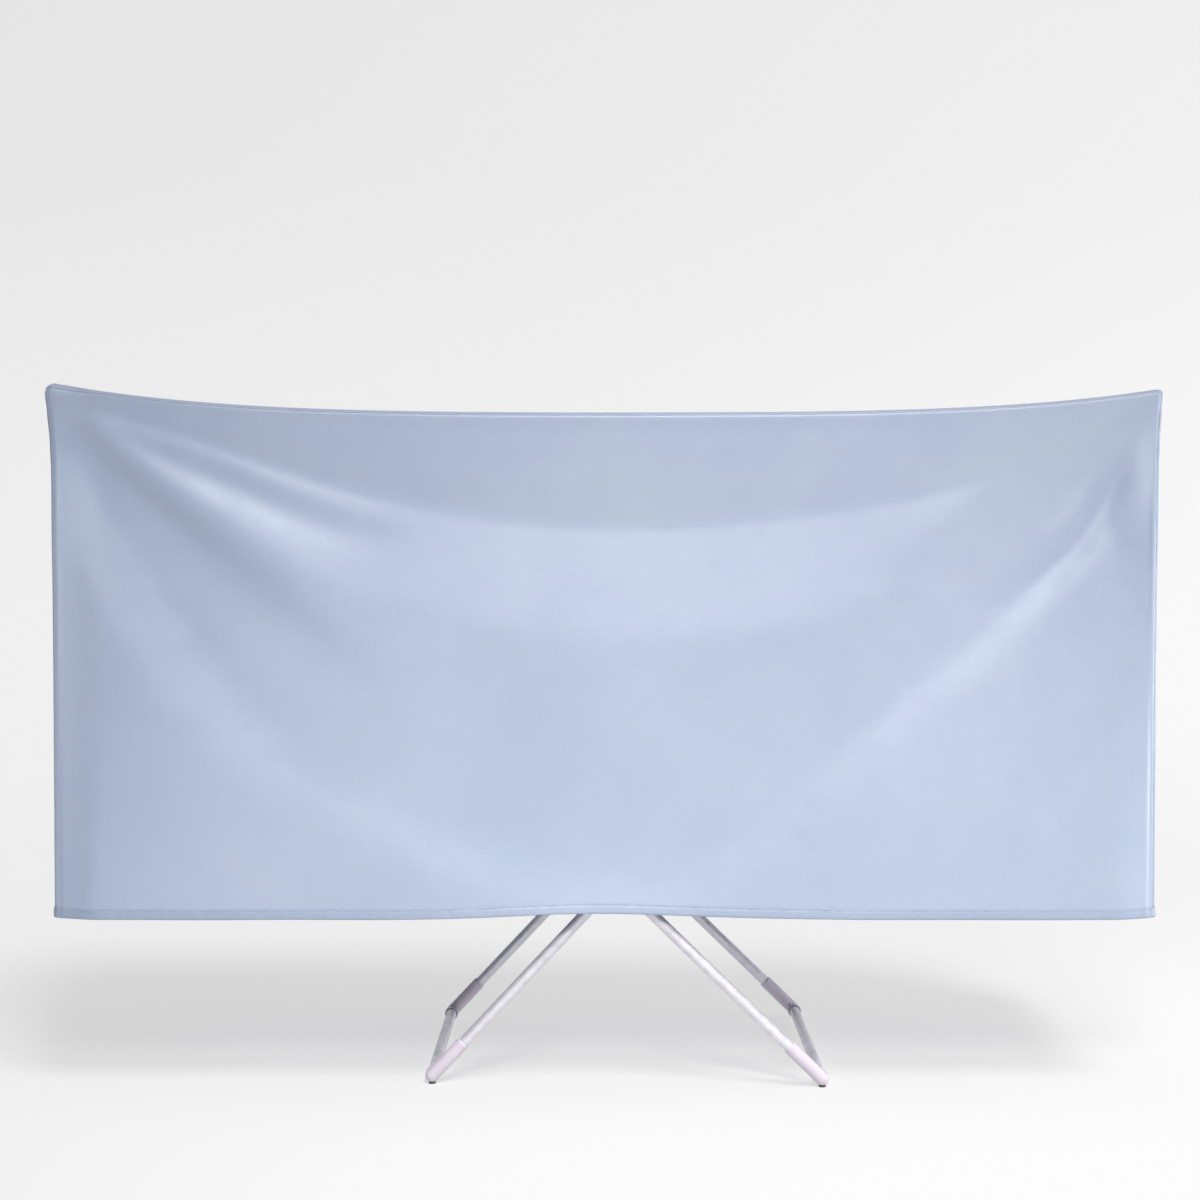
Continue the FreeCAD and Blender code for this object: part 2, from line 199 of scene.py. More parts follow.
def metal(name, base, rough, brush=(1.0, 1.0, 1.0), metallic=1.0):
    """Satin anodised tube with drawing lines and slight handling marks."""
    m = Mat(name, base, rough, metallic)
    v = m.scaled(*brush)
    lines = m.noise(v, 60.0, 4.0, 0.6)
    spots = m.noise(m.scaled(1, 1, 1), 22.0, 4.0, 0.6)
    c2 = m.ramp(lines, "Fac", [(0.3, tuple(c * 0.88 for c in base)), (0.7, tuple(min(1.0, c * 1.07) for c in base))])
    m.t.links.new(c2.outputs["Color"], m.b.inputs["Base Color"])
    r = m.span(spots, "Fac", rough - 0.07, rough + 0.12, 0.3, 0.7)
    m.t.links.new(r.outputs[0], m.b.inputs["Roughness"])
    b1 = m.bump(lines.outputs["Fac"], 0.25, 0.00012)
    b2 = m.bump(spots.outputs["Fac"], 0.1, 0.0003, b1)
    return m.finish_bump(b2)


def plastic(name, base, rough, grain=900.0, worn=1.12):
    m = Mat(name, base, rough, Specular_IOR_Level=0.45)
    v = m.scaled(1, 1, 1)
    g = m.noise(v, grain, 3.0, 0.6)
    cloud = m.noise(v, 28.0, 3.0, 0.6)
    geo = m.new("ShaderNodeNewGeometry")
    edge = m.span(geo, "Pointiness", 0.0, 1.0, 0.5, 0.62)
    col = m.ramp(cloud, "Fac", [(0.3, tuple(c * 0.94 for c in base)), (0.7, tuple(min(1.0, c * 1.04) for c in base))])
    mixed = m.mix(edge.outputs[0], col.outputs["Color"], tuple(min(1.0, c * worn) for c in base))
    m.t.links.new(mixed.outputs[2], m.b.inputs["Base Color"])
    r = m.span(cloud, "Fac", rough - 0.06, rough + 0.08, 0.3, 0.7)
    m.t.links.new(r.outputs[0], m.b.inputs["Roughness"])
    b1 = m.bump(g.outputs["Fac"], 0.25, 0.00015)
    b2 = m.bump(cloud.outputs["Fac"], 0.15, 0.0006, b1)
    return m.finish_bump(b2)


BLUE = srgb(155, 168, 190)
cover_mat = fabric("cover_satin", BLUE, srgb(151, 165, 188), srgb(160, 172, 192))
hem_mat = fabric("hem_satin", srgb(141, 155, 178), srgb(137, 152, 176), srgb(147, 160, 182), rough=0.5, crease=1.5)
seam_mat = fabric("seam_satin", srgb(145, 158, 181), srgb(141, 155, 179), srgb(151, 163, 184), rough=0.5, crease=1.3)
thread_mat = plastic("stitch_thread", srgb(178, 187, 206), 0.6, grain=2500.0)
tube_mat = metal("satin_tube_metal", (0.70, 0.685, 0.745), 0.46, metallic=0.55)
elbow_mat = plastic("foot_elbow_plastic", srgb(196, 187, 200), 0.5)
fitting_mat = plastic("grey_fitting_plastic", srgb(176, 174, 186), 0.5)
pad_mat = plastic("pad_rubber", (0.035, 0.035, 0.04), 0.75, grain=500.0, worn=1.3)
wire_mat = plastic("coated_wire_white", srgb(226, 227, 232), 0.36, grain=600.0)
pin_mat = metal("zinc_pin", (0.6, 0.6, 0.62), 0.3)

slot_mat = {"satin_tube": tube_mat, "foot_plastic": elbow_mat, "grey_plastic": fitting_mat,
            "foot_rubber": pad_mat, "coated_wire": wire_mat, "steel_pin": pin_mat}
record = frame["record"]
node_slot = {s["node"]: s["material_slot"] for s in record["subparts"]}
for name, obj in frame["nodes"].items():
    mat = slot_mat.get(node_slot.get(name))
    if mat:
        for ms in obj.material_slots:
            ms.material = mat

# ---------------------------------------------------------------- the cover
RC = 0.014          # radius of the upright corners
RT = 0.009          # radius where the top turns down
RT_LEFT = 0.016     # rounder over the left wing's corners
HEM_Z = 0.277
NX, NY, NC = 230, 76, 6      # columns on the front and on the ends, and on half a corner
NZ = 112                     # rows down the sides
NT = 5                       # rows round the top edge


def smooth(a, b, v):
    t = min(1.0, max(0.0, (v - a) / (b - a)))
    return t * t * (3.0 - 2.0 * t)


def lobe(c, w, v):
    return math.exp(-((v - c) / w) ** 2)


def top_z(xx, front=True):
    """Height of the top's long edge."""
    a = abs(xx)
    rise, p = (0.048, 0.3) if xx < 0 else (0.038, 0.2)
    return 1.0835 + rise * (p * a ** 2 + (1.0 - p) * a ** 4)


def hem_z(x, side):
    lift = 0.0075 * lobe(-0.02, 0.2, x) if side == "front" else 0.005 * lobe(0.12, 0.25, x)
    return HEM_Z + lift + 0.0012 * noise.noise(Vector((x * 5.0, 3.1, 7.0)))


def half_x(right, t):
    """Half-length of the cover, t from 0 at the hem to 1 at the top."""
    return 0.8815 + 0.0150 * t ** 6 if right else 0.8825 + 0.0165 * t ** 8


def half_y(t):
    """Half-depth at the upright corners: held in by the wing corners at the top."""
    return 0.2905 + (0.2635 - 0.2905) * smooth(0.70, 1.0, t)


# ---------------------------------------------------------------- folds of the long sides
# Each line is a crest, trough or bend of the hanging cloth: stations across (m), heights (m).
ST = np.array([-0.885, -0.8, -0.7, -0.6, -0.5, -0.4, -0.3, -0.2, -0.1, 0.0,
               0.1, 0.2, 0.3, 0.4, 0.5, 0.6, 0.7, 0.8, 0.885])
LINES = [
    # heights of the line at the stations, slope above -> below handled by SLOPES, blur (m)
    ([1.116, 1.101, 1.087, 1.078, 1.070, 1.064, 1.060, 1.058, 1.056, 1.055,
      1.055, 1.055, 1.056, 1.059, 1.062, 1.067, 1.075, 1.088, 1.108], 0.016),
    ([1.112, 1.092, 1.074, 1.061, 1.051, 1.044, 1.038, 1.033, 1.030, 1.029,
      1.029, 1.030, 1.033, 1.037, 1.043, 1.050, 1.060, 1.078, 1.104], 0.020),
    ([1.110, 1.088, 1.066, 1.042, 1.021, 1.004, 0.993, 0.987, 0.984, 0.982,
      0.982, 0.984, 0.988, 0.995, 1.006, 1.020, 1.040, 1.068, 1.100], 0.030),
    ([1.106, 1.084, 1.056, 1.024, 0.990, 0.961, 0.938, 0.920, 0.908, 0.903,
      0.904, 0.910, 0.921, 0.935, 0.952, 0.975, 1.007, 1.052, 1.096], 0.016),
    ([1.100, 1.045, 0.970, 0.902, 0.845, 0.803, 0.775, 0.748, 0.722, 0.710,
      0.709, 0.716, 0.735, 0.772, 0.830, 0.900, 0.965, 1.035, 1.092], 0.045),
    ([1.060, 0.930, 0.790, 0.655, 0.545, 0.480, 0.435, 0.400, 0.370, 0.352,
      0.366, 0.412, 0.480, 0.566, 0.655, 0.742, 0.836, 0.965, 1.080], 0.075),
    ([0.960, 0.770, 0.620, 0.490, 0.410, 0.365, 0.335, 0.310, 0.285, 0.265,
      0.275, 0.322, 0.388, 0.474, 0.570, 0.658, 0.758, 0.890, 1.055], 0.070),
]
# outward slope of the cloth (m per m of drop) above the first line, between the lines, below the last
SLOPES = [
    [-0.12, -0.12, -0.12, -0.12],
    [0.05, 0.01, 0.00, 0.00],
    [-0.05, -0.09, -0.11, -0.12],
    [-0.19, -0.20, -0.20, -0.20],
    [0.12, 0.12, 0.11, 0.05],
    [0.01, 0.04, -0.02, -0.03],
    [0.09, 0.18, 0.20, 0.165],
    [0.05, 0.11, 0.12, 0.08],
]


def spline(xs, ys, q):
    """Cubic through the stations (Catmull-Rom tangents)."""
    xs = np.asarray(xs, float)
    ys = np.asarray(ys, float)
    m = np.gradient(ys, xs)
    i = np.clip(np.searchsorted(xs, q) - 1, 0, len(xs) - 2)
    h = xs[i + 1] - xs[i]
    t = np.clip((q - xs[i]) / h, 0.0, 1.0)
    t2, t3 = t * t, t * t * t
    return ((2 * t3 - 3 * t2 + 1) * ys[i] + (t3 - 2 * t2 + t) * h * m[i]
            + (-2 * t3 + 3 * t2) * ys[i + 1] + (t3 - t2) * h * m[i + 1])


def step_integral(d, w):
    """Integral of a smooth 0..1 step of half-width w centred on 0, taken up to d."""
    u = np.clip(d / w, -1.0, 1.0)
    # the step is S = (1 + u + sin(pi u)/pi)/2
    val = w * ((u + 1.0) + (u * u - 1.0) / 2.0 - (np.cos(np.pi * u) + 1.0) / np.pi ** 2) / 2.0
    return val + np.maximum(0.0, d - w)


def hang(x, z, z_top):
    """Outward travel of the cloth below its top edge."""
    slope = [spline([-0.885, -0.35, 0.25, 0.885], v, x) for v in SLOPES]
    out = slope[0] * np.maximum(0.0, z_top - z)
    for k, (heights, blur) in enumerate(LINES):
        zk = spline(ST, heights, x)
        zk = np.minimum(zk, z_top - 0.002)
        gap = 0.25 + 0.75 * np.clip((0.885 - np.abs(x)) / 0.35, 0.0, 1.0)
        out = out + (slope[k + 1] - slope[k]) * step_integral(zk - z, blur * gap)
    return out


# Local folds: crest (or trough) line, height at its points (mm), width above and below (m).
FOLDS = [
    ([(-0.875, 1.100), (-0.80, 1.047), (-0.70, 0.970), (-0.60, 0.897), (-0.50, 0.820), (-0.42, 0.752), (-0.34, 0.680)],
     [0, 4.0, 6.0, 6.0, 5.0, 3.0, 0], [0.02, 0.03, 0.04, 0.05, 0.06, 0.06, 0.06], [0.02, 0.025, 0.03, 0.035, 0.04, 0.045, 0.05]),
    ([(-0.875, 1.080), (-0.80, 0.994), (-0.70, 0.905), (-0.60, 0.823), (-0.50, 0.742), (-0.40, 0.660), (-0.30, 0.590)],
     [0, -4.0, -6.0, -6.0, -5.0, -3.0, 0], [0.02, 0.025, 0.03, 0.035, 0.04, 0.045, 0.05], [0.03, 0.05, 0.06, 0.07, 0.07, 0.08, 0.08]),
    ([(-0.82, 1.078), (-0.70, 1.036), (-0.60, 1.000), (-0.50, 0.960), (-0.40, 0.928), (-0.30, 0.905)],
     [0, 2.2, 2.4, 2.2, 1.2, 0], [0.022] * 6, [0.018] * 6),
    ([(-0.82, 1.064), (-0.70, 1.008), (-0.60, 0.966), (-0.50, 0.922), (-0.40, 0.888), (-0.30, 0.870)],
     [0, -2.2, -2.6, -2.2, -1.2, 0], [0.02] * 6, [0.025] * 6),
    ([(0.84, 1.085), (0.75, 1.040), (0.70, 1.010), (0.65, 0.980), (0.60, 0.950), (0.55, 0.915), (0.50, 0.890), (0.42, 0.875)],
     [0, 3.0, 4.0, 4.2, 4.0, 3.2, 1.8, 0], [0.035, 0.035, 0.035, 0.04, 0.045, 0.05, 0.055, 0.06], [0.035] * 8),
    ([(0.84, 1.055), (0.75, 0.990), (0.70, 0.955), (0.65, 0.922), (0.60, 0.890), (0.55, 0.845), (0.50, 0.822), (0.42, 0.808)],
     [0, -3.0, -4.0, -4.2, -4.2, -3.6, -2.2, 0], [0.035] * 8, [0.04, 0.04, 0.04, 0.045, 0.05, 0.055, 0.06, 0.06]),
    ([(0.872, 1.080), (0.82, 1.017), (0.79, 0.967), (0.76, 0.922), (0.73, 0.888), (0.68, 0.850), (0.60, 0.80)],
     [0, 3.4, 4.2, 4.2, 3.4, 1.2, 0], [0.022] * 7, [0.018] * 7),
    ([(0.875, 1.060), (0.835, 0.990), (0.80, 0.937), (0.77, 0.890), (0.735, 0.850), (0.68, 0.805), (0.60, 0.75)],
     [0, -4.0, -5.4, -5.2, -4.2, -1.6, 0], [0.018] * 7, [0.030] * 7),
    ([(-0.878, 0.93), (-0.85, 0.850), (-0.80, 0.740), (-0.75, 0.650), (-0.70, 0.540), (-0.65, 0.455), (-0.58, 0.39), (-0.48, 0.340)],
     [0, 4.0, 5.0, 5.0, 4.0, 3.0, 2.0, 0], [0.035, 0.05, 0.06, 0.07, 0.08, 0.08, 0.08, 0.07], [0.03, 0.05, 0.07, 0.09, 0.11, 0.12, 0.12, 0.10]),
    ([(-0.83, 0.52), (-0.78, 0.44), (-0.73, 0.36), (-0.70, 0.29)],
     [0, 1.6, 2.0, 1.6], [0.035] * 4, [0.035] * 4),
    ([(-0.72, 0.50), (-0.68, 0.42), (-0.64, 0.35), (-0.61, 0.28)],
     [0, -1.2, -1.6, -1.2], [0.035] * 4, [0.04] * 4),
    ([(0.20, 0.43), (0.30, 0.455), (0.42, 0.545), (0.52, 0.63), (0.62, 0.71)],
     [0, 1.2, 1.6, 1.2, 0], [0.03] * 5, [0.05] * 5),
]


def local_folds(x, z):
    out = np.zeros_like(x)
    for path, amp, wu, wl in FOLDS:
        best = np.full(x.shape, 1e9)
        d = np.zeros_like(x)
        a = np.zeros_like(x)
        u = np.zeros_like(x)
        lo = np.zeros_like(x)
        n = len(path)
        # resample the path smoothly
        ps = np.array(path)
        s = np.arange(n, dtype=float)
        q = np.linspace(0, n - 1, (n - 1) * 4 + 1)
        px, pz = spline(s, ps[:, 0], q), spline(s, ps[:, 1], q)
        pa, pu, pl = spline(s, amp, q), spline(s, wu, q), spline(s, wl, q)
        for i in range(len(q) - 1):
            ax, az, bx, bz = px[i], pz[i], px[i + 1], pz[i + 1]
            dx, dz = bx - ax, bz - az
            ll = dx * dx + dz * dz
            t = np.clip(((x - ax) * dx + (z - az) * dz) / ll, 0.0, 1.0)
            ex, ez = x - (ax + t * dx), z - (az + t * dz)
            dist = np.hypot(ex, ez)
            side = np.sign(dx * ez - dz * ex) * (1.0 if dx > 0 else -1.0)
            use = dist < best
            best = np.where(use, dist, best)
            d = np.where(use, dist * side, d)
            a = np.where(use, pa[i] + t * (pa[i + 1] - pa[i]), a)
            u = np.where(use, pu[i] + t * (pu[i + 1] - pu[i]), u)
            lo = np.where(use, pl[i] + t * (pl[i + 1] - pl[i]), lo)
        w = np.where(d > 0, u, lo)
        out += 0.001 * a * np.exp(-(d / w) ** 2)
    return out


def swag(xx, z, p):
    """How deep at mid-span the hanging fold through this point is, and its taper."""
    f = max(1e-4, 1.0 - abs(xx) ** p)
    return max(0.0, 1.112 - z) / f, f


def end_folds(y, z, right):
    yy = max(-0.999, min(0.999, y / 0.288))
    d, f = swag(yy, z, 2.2)
    h = 0.004 * smooth(0.06, 0.16, d) - 0.003 * smooth(0.2, 0.3, d)
    h += 0.003 * lobe(0.45, 0.10, d)
    h *= f ** 0.7
    s = 3.0 if right else 8.0
    h += 0.0035 * noise.noise(Vector((y * 4.0, z * 1.6, s))) * min(1.0, f * 2.0)
    h += 0.0012 * noise.noise(Vector((y * 14.0, z * 6.0, s)))
    return h


def loop_points(t):
    """Plan outline at height fraction t: (x, y, nx, ny, side, along) for each column."""
    out = []
    # corner order: front-left, front-right, rear-right, rear-left; each side runs diagonal to diagonal
    xl, xr = -half_x(False, t), half_x(True, t)

    def corner(cx, cy, a0, n):
        return [(cx + RC * math.cos(a), cy + RC * math.sin(a), math.cos(a), math.sin(a)) for a in
                [a0 + math.pi / 4 * i / n for i in range(n)]]
    yc = half_y(t)
    # front: from the diagonal of the front-left corner to that of the front-right
    side = []
    for i in range(NC):
        a = math.radians(225 + 45.0 * i / NC)
        side.append((xl + RC + RC * math.cos(a), -yc + RC + RC * math.sin(a), math.cos(a), math.sin(a)))
    for i in range(NX + 1):
        x = xl + RC + (xr - xl - 2 * RC) * i / NX
        side.append((x, -yc, 0.0, -1.0))
    for i in range(1, NC):
        a = math.radians(270 + 45.0 * i / NC)
        side.append((xr - RC + RC * math.cos(a), -yc + RC + RC * math.sin(a), math.cos(a), math.sin(a)))
    out += [(*p, "front") for p in side]
    side = []
    for i in range(NC):
        a = math.radians(315 + 45.0 * i / NC)
        side.append((xr - RC + RC * math.cos(a), -yc + RC + RC * math.sin(a), math.cos(a), math.sin(a)))
    for i in range(NY + 1):
        side.append((xr, -yc + RC + (2 * yc - 2 * RC) * i / NY, 1.0, 0.0))
    for i in range(1, NC):
        a = math.radians(45.0 * i / NC)
        side.append((xr - RC + RC * math.cos(a), yc - RC + RC * math.sin(a), math.cos(a), math.sin(a)))
    out += [(*p, "right") for p in side]
    side = []
    for i in range(NC):
        a = math.radians(45 + 45.0 * i / NC)
        side.append((xr - RC + RC * math.cos(a), yc - RC + RC * math.sin(a), math.cos(a), math.sin(a)))
    for i in range(NX + 1):
        x = xr - RC - (xr - xl - 2 * RC) * i / NX
        side.append((x, yc, 0.0, 1.0))
    for i in range(1, NC):
        a = math.radians(90 + 45.0 * i / NC)
        side.append((xl + RC + RC * math.cos(a), yc - RC + RC * math.sin(a), math.cos(a), math.sin(a)))
    out += [(*p, "back") for p in side]
    side = []
    for i in range(NC):
        a = math.radians(135 + 45.0 * i / NC)
        side.append((xl + RC + RC * math.cos(a), yc - RC + RC * math.sin(a), math.cos(a), math.sin(a)))
    for i in range(NY + 1):
        side.append((xl, yc - RC - (2 * yc - 2 * RC) * i / NY, -1.0, 0.0))
    for i in range(1, NC):
        a = math.radians(180 + 45.0 * i / NC)
        side.append((xl + RC + RC * math.cos(a), -yc + RC + RC * math.sin(a), math.cos(a), math.sin(a)))
    out += [(*p, "left") for p in side]
    return out


F = NX + 2 * NC      # edges on the front and on the back
E = NY + 2 * NC      # edges on each end


def long_side(x, z, side):
    """Half depth of the hanging cloth on the front or the back, from its edge to its hem."""
    q = x if side == "front" else x + 0.025 * np.sin(x * 3.3 + 0.6) * np.clip((0.885 - np.abs(x)) / 0.3, 0.0, 1.0)
    a = np.minimum(1.0, np.abs(q / 0.885))
    zt = 1.083 + np.where(q < 0.0, 0.048 * (0.3 * a ** 2 + 0.7 * a ** 4), 0.038 * (0.2 * a ** 2 + 0.8 * a ** 4))
    w = np.clip((0.889 - np.abs(q)) / 0.085, 0.0, 1.0)
    w = w * w * (3.0 - 2.0 * w)
    t = np.clip((z - HEM_Z) / (1.11 - HEM_Z), 0.0, 1.0)
    u = np.clip((t - 0.70) / 0.30, 0.0, 1.0)
    edge = 0.2905 + (0.2635 - 0.2905) * u * u * (3.0 - 2.0 * u)
    k = 1.0 if side == "front" else 0.8
    mid = 0.2635 + 0.021 * (1.0 - a ** 2.5) + k * hang(q, z, zt) + k * local_folds(q, z) * w
    if side == "back":
        mid = mid + 0.003 * np.sin(q * 9.0 + 2.0) * np.clip((1.0 - z) / 0.5, 0.0, 1.0)
    over = 0.3128 - 0.003 * np.log1p(np.exp((0.3128 - mid) / 0.003))
    return edge + (over - edge) * w


def outward(x, y, z, side):
    """Fold height along the outward normal, on the ends."""
    w = smooth(0.0, 0.06, 0.287 - abs(y))
    return end_folds(y, z, side == "right") * w


def edge_radius(x):
    return RT + (RT_LEFT - RT) * smooth(0.80, 0.868, -x)


def end_sag(x, y):
    """Drop of the top onto the wing's tip bar between the raised corners."""
    drop = 0.0127 if x < 0 else 0.0040
    return drop * smooth(0.74, 0.86, abs(x)) * (1.0 - smooth(0.17, 0.245, abs(y)))


def edge_height(x, y):
    """Height of the cloth where the top turns down, anywhere round the outline."""
    return top_z(max(-1.0, min(1.0, x / 0.885))) - end_sag(x, y)


def place(p, z_top, row):
    x, y, nx, ny, side = p
    zb = hem_z(x, side)
    b = row / NZ
    z0 = z_top - edge_radius(x)
    return z0 + (zb - z0) * b


verts, uvs = [], []
loops = []
tops = loop_points(1.0)
# where every column of the long sides stands, row by row, and how deep the folds are there
spots = {"front": [], "back": []}
for row in range(-NT, NZ + 1):
    for k, (x1, y1, nx, ny, side) in enumerate(tops):
        zt = edge_height(x1, y1)
        rt = edge_radius(x1)
        if row <= 0:
            a = math.pi / 2 * (row + NT) / NT
            x, z = x1, zt - rt
        else:
            z = place(tops[k], zt, row)
            t = min(1.0, max(0.0, (z - HEM_Z) / (1.11 - HEM_Z)))
            x = x1 * half_x(x1 > 0, t) / half_x(x1 > 0, 1.0)
        if side in spots and abs(ny) == 1.0:
            spots[side].append((row, k, x, z))
depth = {}
for side, rows in spots.items():
    far = long_side(np.array([r[2] for r in rows]), np.array([r[3] for r in rows]), side)
    for r, value in zip(rows, far):
        depth[r[0], r[1]] = float(value)
# rows round the top edge, then down to the hem
for row in range(-NT, NZ + 1):
    idx = []
    for k, (x1, y1, nx, ny, side) in enumerate(tops):
        zt = edge_height(x1, y1)
        rt = edge_radius(x1)
        if row <= 0:
            a = math.pi / 2 * (row + NT) / NT
            inset = rt * (1.0 - math.sin(a))
            z = zt - rt * (1.0 - math.cos(a))
            if (row, k) in depth:
                pos = (x1, ny * (depth[row, k] - inset), z)
            else:
                h = outward(x1, y1, zt - rt, side) * math.sin(a) if side in ("left", "right") else 0.0
                pos = (x1 + nx * (h - inset), y1 + ny * (h - inset), z)
            v = -inset
        else:
            z = place(tops[k], zt, row)
            t = min(1.0, max(0.0, (z - HEM_Z) / (1.11 - HEM_Z)))
            x = x1 * half_x(x1 > 0, t) / half_x(x1 > 0, 1.0)
            if (row, k) in depth:
                pos = (x, ny * depth[row, k], z)
            else:
                y = y1 + math.copysign(half_y(t) - half_y(1.0), y1) * (1.0 if abs(nx) < 1.0 else abs(y1) / 0.2635)
                h = outward(x, y, z, side) if side in ("left", "right") else 0.0
                pos = (x + nx * h, y + ny * h, z)
            v = zt - z
        idx.append(len(verts))
        verts.append(pos)
        if side in ("front", "back"):
            uvs.append((x1 if side == "front" else 4.0 + x1, -v))
        else:
            uvs.append((8.0 + y1 if side == "right" else 12.0 + y1, -v))
    loops.append(idx)

faces = []
N = len(loops[0])
for a, b in zip(loops, loops[1:]):
    for k in range(N):
        j = (k + 1) % N
        faces.append((a[k], b[k], b[j], a[j]))

# top: a grid whose border is the first loop
first = loops[0]
fr = [first[i] for i in range(F + 1)]
ri = [first[F + j] for j in range(E + 1)]
ba = [first[F + E + i] for i in range(F + 1)][::-1]
le = [first[(2 * F + E + j) % N] for j in range(E + 1)][::-1]
grid = {}
for i in range(F + 1):
    for j in range(E + 1):
        if j == 0:
            grid[i, j] = fr[i]
        elif j == E:
            grid[i, j] = ba[i]
        elif i == 0:
            grid[i, j] = le[j]
        elif i == F:
            grid[i, j] = ri[j]
        else:
            u, v = i / F, j / E
            P = [Vector(verts[q]) for q in (fr[i], ba[i], le[j], ri[j], fr[0], fr[F], ba[0], ba[F])]
            c = (P[0] * (1 - v) + P[1] * v + P[2] * (1 - u) + P[3] * u
                 - P[4] * (1 - u) * (1 - v) - P[5] * u * (1 - v) - P[6] * (1 - u) * v - P[7] * u * v)
            xx = max(-1.0, min(1.0, c.x / 0.885))
            z = top_z(xx)
            yy = c.y / 0.27
            z += 0.006 * (1 - xx ** 8) * (1 - yy * yy)
            z += 0.0016 * noise.noise(Vector((c.x * 3.0, c.y * 9.0, 2.0))) * (1 - yy ** 4) * (1 - xx ** 6)
            z -= 0.0045 * smooth(0.02, 0.10, 0.885 - abs(c.x)) * (1 - smooth(0.12, 0.4, 0.885 - abs(c.x))) * (1 - yy * yy)
            z -= end_sag(c.x, c.y)
            grid[i, j] = len(verts)
            verts.append((c.x, c.y, z))
            uvs.append((c.x, 16.0 + c.y))
for i in range(F):
    for j in range(E):
        faces.append((grid[i, j], grid[i + 1, j], grid[i + 1, j + 1], grid[i, j + 1]))


def make(name, verts, faces, mat, uvs=None, smooth_shade=True):
    me = bpy.data.meshes.new(name)
    me.from_pydata([tuple(v) for v in verts], [], faces)
    if uvs:
        layer = me.uv_layers.new(name="cloth")
        for loop in me.loops:
            layer.data[loop.index].uv = uvs[loop.vertex_index]
    me.materials.append(mat)
    for p in me.polygons:
        p.use_smooth = smooth_shade
    ob = bpy.data.objects.new(name, me)
    bpy.context.scene.collection.objects.link(ob)
    return ob


cover = make("cover_cloth", verts, faces, cover_mat, uvs)
bm = bmesh.new()
bm.from_mesh(cover.data)
bmesh.ops.recalc_face_normals(bm, faces=bm.faces)
bm.to_mesh(cover.data)
bm.free()
if cover.data.polygons[len(cover.data.polygons) - 1].normal.z < 0:
    cover.data.flip_normals()

# ---------------------------------------------------------------- hem band
bottom = [Vector(verts[i]) for i in loops[-1]]
normals = [Vector((p[2], p[3], 0.0)) for p in loop_points(0.0)]
up_rows = []


def side_point(k, rise):
    """A point on the cover, rise above the hem's edge in column k."""
    r = NZ
    acc = 0.0
    p = Vector(verts[loops[NT + r][k]])
    while r > 0:
        q = Vector(verts[loops[NT + r - 1][k]])
        step = (q - p).length
        if acc + step >= rise:
            return p.lerp(q, (rise - acc) / step)
        acc += step
        p = q
        r -= 1
    return p


HEM_H = 0.0155
profile = [(0.0000, -0.0004), (-0.0004, 0.0009), (0.0010, 0.0016), (0.0040, 0.0014), (0.0090, 0.0013),
           (0.0125, 0.0010), (0.0135, 0.0006), (0.0145, 0.0011), (0.0155, 0.0012), (0.0158, 0.0005),
           (0.0150, -0.0008), (0.0080, -0.0012), (0.0015, -0.0011)]
hv, hf, huv = [], [], []
s = 0.0
for k in range(N):
    n = normals[k]
    if k:
        s += (bottom[k] - bottom[k - 1]).length
    pucker = 0.0006 * math.sin(s * 2 * math.pi / 0.023 + 1.5 * noise.noise(Vector((s * 3.0, 0.0, 0.0)))) \
        + 0.0007 * noise.noise(Vector((s * 28.0, 1.0, 0.0)))
    for m_, (rise, off) in enumerate(profile):
        p = side_point(k, max(0.0, rise)) + Vector((0, 0, min(0.0, rise)))
        w = 0.4 + 0.6 * math.sin(min(1.0, max(0.0, rise / 0.0155)) * math.pi)
        hv.append(p + n * (off + pucker * w))
        huv.append((s, rise + (0.1 if m_ >= 10 else 0.0)))
M = len(profile)
for k in range(N):
    j = (k + 1) % N
    for a in range(M):
        b = (a + 1) % M
        hf.append((k * M + a, j * M + a, j * M + b, k * M + b))
hem = make("cover_hem_band", hv, hf, hem_mat, huv)
bm = bmesh.new()
bm.from_mesh(hem.data)
bmesh.ops.recalc_face_normals(bm, faces=bm.faces)
bm.to_mesh(hem.data)
bm.free()


# ---------------------------------------------------------------- stitches
def polyline(points, closed=True):
    length = [0.0]
    pts = list(points) + ([points[0]] if closed else [])
    for a, b in zip(pts, pts[1:]):
        length.append(length[-1] + (b - a).length)
    return pts, length


def sample(pts, length, s, hint=[0]):
    i = hint[0]
    if i >= len(length) - 1 or length[i] > s:
        i = 0
    while i < len(length) - 2 and length[i + 1] < s:
        i += 1
    hint[0] = i
    t = (s - length[i]) / max(1e-9, length[i + 1] - length[i])
    return pts[i].lerp(pts[i + 1], min(1.0, max(0.0, t)))


